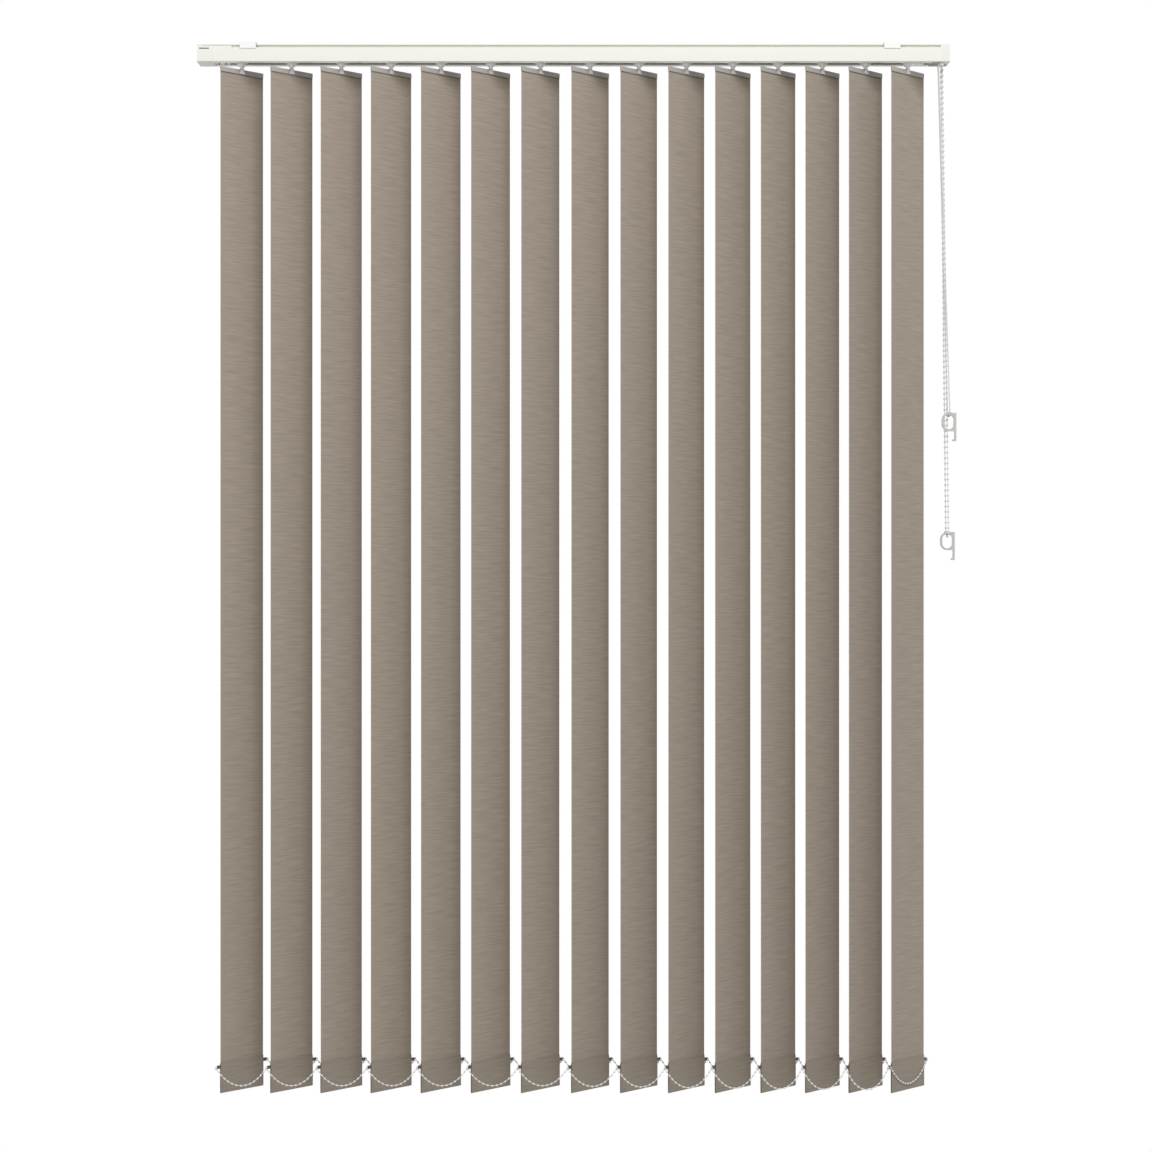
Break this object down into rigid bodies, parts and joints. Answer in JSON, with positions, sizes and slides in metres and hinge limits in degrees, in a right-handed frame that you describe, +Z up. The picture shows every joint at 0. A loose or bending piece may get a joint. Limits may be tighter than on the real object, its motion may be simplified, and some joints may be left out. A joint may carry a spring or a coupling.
{
  "type": "vertical blind",
  "caption": "Vertical blind: fabric vanes on sliding, turning carriers in a ceiling-fixed headrail, with cord and bead chain controls and linked bottom weights.",
  "frame": {"origin": "midway between the two ceiling screw holes, on the brackets' top faces", "axes": "+X along the rail towards the control end, -Y towards the room, +Z up"},
  "size_m": [1.2117, 0.0832, 1.6742],
  "materials": {
    "rail_enamel": "satin ivory",
    "cap_plastic": "satin ivory",
    "bracket_steel": "white coat",
    "white_plastic": "moulded",
    "hanger_plastic": "moulded",
    "vane_fabric": "slub weave",
    "rod_aluminium": "mill",
    "cord": "braided",
    "chain_plastic": "moulded",
    "clip_plastic": "moulded"
  },
  "bodies": {
    "headrail": {"headrail": "rail_enamel", "idler_end_cap": "cap_plastic", "control_end_cap": "cap_plastic", "ceiling_brackets": "bracket_steel", "carrier_15": "white_plastic", "traverse_cord": "cord", "control_chain": "chain_plastic", "cord_clip": "clip_plastic", "chain_clip": "clip_plastic"},
    "carrier_01": {"carrier_01": "white_plastic"},
    "carrier_02": {"carrier_02": "white_plastic"},
    "carrier_03": {"carrier_03": "white_plastic"},
    "carrier_04": {"carrier_04": "white_plastic"},
    "carrier_05": {"carrier_05": "white_plastic"},
    "carrier_06": {"carrier_06": "white_plastic"},
    "carrier_07": {"carrier_07": "white_plastic"},
    "carrier_08": {"carrier_08": "white_plastic"},
    "carrier_09": {"carrier_09": "white_plastic"},
    "carrier_10": {"carrier_10": "white_plastic"},
    "carrier_11": {"carrier_11": "white_plastic"},
    "carrier_12": {"carrier_12": "white_plastic"},
    "carrier_13": {"carrier_13": "white_plastic"},
    "carrier_14": {"carrier_14": "white_plastic"},
    "vane_01": {"hanger_01": "hanger_plastic", "vane_01": "vane_fabric"},
    "vane_02": {"hanger_02": "hanger_plastic", "vane_02": "vane_fabric"},
    "vane_03": {"hanger_03": "hanger_plastic", "vane_03": "vane_fabric"},
    "vane_04": {"hanger_04": "hanger_plastic", "vane_04": "vane_fabric"},
    "vane_05": {"hanger_05": "hanger_plastic", "vane_05": "vane_fabric"},
    "vane_06": {"hanger_06": "hanger_plastic", "vane_06": "vane_fabric"},
    "vane_07": {"hanger_07": "hanger_plastic", "vane_07": "vane_fabric"},
    "vane_08": {"hanger_08": "hanger_plastic", "vane_08": "vane_fabric"},
    "vane_09": {"hanger_09": "hanger_plastic", "vane_09": "vane_fabric"},
    "vane_10": {"hanger_10": "hanger_plastic", "vane_10": "vane_fabric"},
    "vane_11": {"hanger_11": "hanger_plastic", "vane_11": "vane_fabric"},
    "vane_12": {"hanger_12": "hanger_plastic", "vane_12": "vane_fabric"},
    "vane_13": {"hanger_13": "hanger_plastic", "vane_13": "vane_fabric"},
    "vane_14": {"hanger_14": "hanger_plastic", "vane_14": "vane_fabric"},
    "vane_15": {"hanger_15": "hanger_plastic", "vane_15": "vane_fabric"},
    "tilt_rod": {"tilt_rod": "rod_aluminium", "chain_wheel": "white_plastic"},
    "idler_pulley": {"idler_pulley": "white_plastic"},
    "cord_pulley_front": {"cord_pulley_front": "white_plastic"},
    "cord_pulley_back": {"cord_pulley_back": "white_plastic"},
    "front_bead_chain": {"front_bead_chain": "chain_plastic"},
    "back_bead_chain": {"back_bead_chain": "chain_plastic"}
  },
  "joints": [
    {"name": "traverse_01", "type": "slide", "parent": "headrail", "child": "carrier_01", "axis": [1, 0, 0], "range_m": [0, 0.74637], "deforming": ["front_bead_chain", "back_bead_chain"]},
    {"name": "traverse_02", "type": "slide", "parent": "headrail", "child": "carrier_02", "axis": [1, 0, 0], "range_m": [0, 0.69058]},
    {"name": "traverse_03", "type": "slide", "parent": "headrail", "child": "carrier_03", "axis": [1, 0, 0], "range_m": [0, 0.63479]},
    {"name": "traverse_04", "type": "slide", "parent": "headrail", "child": "carrier_04", "axis": [1, 0, 0], "range_m": [0, 0.579]},
    {"name": "traverse_05", "type": "slide", "parent": "headrail", "child": "carrier_05", "axis": [1, 0, 0], "range_m": [0, 0.52321]},
    {"name": "traverse_06", "type": "slide", "parent": "headrail", "child": "carrier_06", "axis": [1, 0, 0], "range_m": [0, 0.46742]},
    {"name": "traverse_07", "type": "slide", "parent": "headrail", "child": "carrier_07", "axis": [1, 0, 0], "range_m": [0, 0.41163]},
    {"name": "traverse_08", "type": "slide", "parent": "headrail", "child": "carrier_08", "axis": [1, 0, 0], "range_m": [0, 0.35584]},
    {"name": "traverse_09", "type": "slide", "parent": "headrail", "child": "carrier_09", "axis": [1, 0, 0], "range_m": [0, 0.30129]},
    {"name": "traverse_10", "type": "slide", "parent": "headrail", "child": "carrier_10", "axis": [1, 0, 0], "range_m": [0, 0.24798]},
    {"name": "traverse_11", "type": "slide", "parent": "headrail", "child": "carrier_11", "axis": [1, 0, 0], "range_m": [0, 0.1959]},
    {"name": "traverse_12", "type": "slide", "parent": "headrail", "child": "carrier_12", "axis": [1, 0, 0], "range_m": [0, 0.14507]},
    {"name": "traverse_13", "type": "slide", "parent": "headrail", "child": "carrier_13", "axis": [1, 0, 0], "range_m": [0, 0.09547]},
    {"name": "traverse_14", "type": "slide", "parent": "headrail", "child": "carrier_14", "axis": [1, 0, 0], "range_m": [0, 0.04712]},
    {"name": "tilt_01", "type": "hinge", "parent": "carrier_01", "child": "vane_01", "pos_m": [-0.52562, 0, -0.019], "axis": [0, 0, 1], "range_deg": [-38, 122]},
    {"name": "tilt_02", "type": "hinge", "parent": "carrier_02", "child": "vane_02", "pos_m": [-0.44592, 0, -0.019], "axis": [0, 0, 1], "range_deg": [-38, 122]},
    {"name": "tilt_03", "type": "hinge", "parent": "carrier_03", "child": "vane_03", "pos_m": [-0.36622, 0, -0.019], "axis": [0, 0, 1], "range_deg": [-38, 122]},
    {"name": "tilt_04", "type": "hinge", "parent": "carrier_04", "child": "vane_04", "pos_m": [-0.28652, 0, -0.019], "axis": [0, 0, 1], "range_deg": [-38, 122]},
    {"name": "tilt_05", "type": "hinge", "parent": "carrier_05", "child": "vane_05", "pos_m": [-0.20682, 0, -0.019], "axis": [0, 0, 1], "range_deg": [-38, 122]},
    {"name": "tilt_06", "type": "hinge", "parent": "carrier_06", "child": "vane_06", "pos_m": [-0.12712, 0, -0.019], "axis": [0, 0, 1], "range_deg": [-38, 122]},
    {"name": "tilt_07", "type": "hinge", "parent": "carrier_07", "child": "vane_07", "pos_m": [-0.04742, 0, -0.019], "axis": [0, 0, 1], "range_deg": [-38, 122]},
    {"name": "tilt_08", "type": "hinge", "parent": "carrier_08", "child": "vane_08", "pos_m": [0.03228, 0, -0.019], "axis": [0, 0, 1], "range_deg": [-38, 122]},
    {"name": "tilt_09", "type": "hinge", "parent": "carrier_09", "child": "vane_09", "pos_m": [0.11021, 0, -0.019], "axis": [0, 0, 1], "range_deg": [-38, 122]},
    {"name": "tilt_10", "type": "hinge", "parent": "carrier_10", "child": "vane_10", "pos_m": [0.18637, 0, -0.019], "axis": [0, 0, 1], "range_deg": [-38, 122]},
    {"name": "tilt_11", "type": "hinge", "parent": "carrier_11", "child": "vane_11", "pos_m": [0.26076, 0, -0.019], "axis": [0, 0, 1], "range_deg": [-38, 122]},
    {"name": "tilt_12", "type": "hinge", "parent": "carrier_12", "child": "vane_12", "pos_m": [0.33338, 0, -0.019], "axis": [0, 0, 1], "range_deg": [-38, 122]},
    {"name": "tilt_13", "type": "hinge", "parent": "carrier_13", "child": "vane_13", "pos_m": [0.40423, 0, -0.019], "axis": [0, 0, 1], "range_deg": [-38, 122]},
    {"name": "tilt_14", "type": "hinge", "parent": "carrier_14", "child": "vane_14", "pos_m": [0.47331, 0, -0.019], "axis": [0, 0, 1], "range_deg": [-38, 122]},
    {"name": "tilt_15", "type": "hinge", "parent": "headrail", "child": "vane_15", "pos_m": [0.54062, 0, -0.019], "axis": [0, 0, 1], "range_deg": [-38, 122]},
    {"name": "rod_turn", "type": "hinge", "parent": "headrail", "child": "tilt_rod", "pos_m": [0, 0.009, -0.019], "axis": [1, 0, 0], "range_deg": [-304, 976]},
    {"name": "front_chain_swing", "type": "hinge", "parent": "vane_08", "child": "front_bead_chain", "pos_m": [-0.00372, -0.03998, -1.6322], "axis": [0, 0, 1], "range_deg": [-122, 38]},
    {"name": "back_chain_swing", "type": "hinge", "parent": "vane_08", "child": "back_bead_chain", "pos_m": [0.06828, 0.03998, -1.6322], "axis": [0, 0, 1], "range_deg": [-122, 38]},
    {"name": "idler_pulley_spin", "type": "hinge", "parent": "headrail", "child": "idler_pulley", "pos_m": [-0.58162, -0.009, -0.0082], "axis": [0, 0, 1], "continuous": true},
    {"name": "cord_pulley_front_spin", "type": "hinge", "parent": "headrail", "child": "cord_pulley_front", "pos_m": [0.58412, -0.0135, -0.0127], "axis": [0, 1, 0], "continuous": true},
    {"name": "cord_pulley_back_spin", "type": "hinge", "parent": "headrail", "child": "cord_pulley_back", "pos_m": [0.58412, -0.0045, -0.0127], "axis": [0, 1, 0], "continuous": true}
  ],
  "couplings": [
    {"joint": "traverse_02", "follows": "traverse_01", "ratio": 0.92525},
    {"joint": "traverse_03", "follows": "traverse_01", "ratio": 0.8505},
    {"joint": "traverse_04", "follows": "traverse_01", "ratio": 0.77575},
    {"joint": "traverse_05", "follows": "traverse_01", "ratio": 0.70101},
    {"joint": "traverse_06", "follows": "traverse_01", "ratio": 0.62626},
    {"joint": "traverse_07", "follows": "traverse_01", "ratio": 0.55151},
    {"joint": "traverse_08", "follows": "traverse_01", "ratio": 0.47676},
    {"joint": "traverse_09", "follows": "traverse_01", "ratio": 0.40367},
    {"joint": "traverse_10", "follows": "traverse_01", "ratio": 0.33224},
    {"joint": "traverse_11", "follows": "traverse_01", "ratio": 0.26247},
    {"joint": "traverse_12", "follows": "traverse_01", "ratio": 0.19437},
    {"joint": "traverse_13", "follows": "traverse_01", "ratio": 0.12792},
    {"joint": "traverse_14", "follows": "traverse_01", "ratio": 0.063128},
    {"joint": "tilt_01", "follows": "tilt_08", "ratio": 1},
    {"joint": "tilt_02", "follows": "tilt_08", "ratio": 1},
    {"joint": "tilt_03", "follows": "tilt_08", "ratio": 1},
    {"joint": "tilt_04", "follows": "tilt_08", "ratio": 1},
    {"joint": "tilt_05", "follows": "tilt_08", "ratio": 1},
    {"joint": "tilt_06", "follows": "tilt_08", "ratio": 1},
    {"joint": "tilt_07", "follows": "tilt_08", "ratio": 1},
    {"joint": "tilt_09", "follows": "tilt_08", "ratio": 1},
    {"joint": "tilt_10", "follows": "tilt_08", "ratio": 1},
    {"joint": "tilt_11", "follows": "tilt_08", "ratio": 1},
    {"joint": "tilt_12", "follows": "tilt_08", "ratio": 1},
    {"joint": "tilt_13", "follows": "tilt_08", "ratio": 1},
    {"joint": "tilt_14", "follows": "tilt_08", "ratio": 1},
    {"joint": "tilt_15", "follows": "tilt_08", "ratio": 1},
    {"joint": "rod_turn", "follows": "tilt_08", "ratio": 8},
    {"joint": "front_chain_swing", "follows": "tilt_08", "ratio": -1},
    {"joint": "back_chain_swing", "follows": "tilt_08", "ratio": -1},
    {"joint": "idler_pulley_spin", "follows": "traverse_01", "rad_per_m": 222.22},
    {"joint": "cord_pulley_front_spin", "follows": "traverse_01", "rad_per_m": 222.22},
    {"joint": "cord_pulley_back_spin", "follows": "traverse_01", "rad_per_m": -222.22}
  ]
}
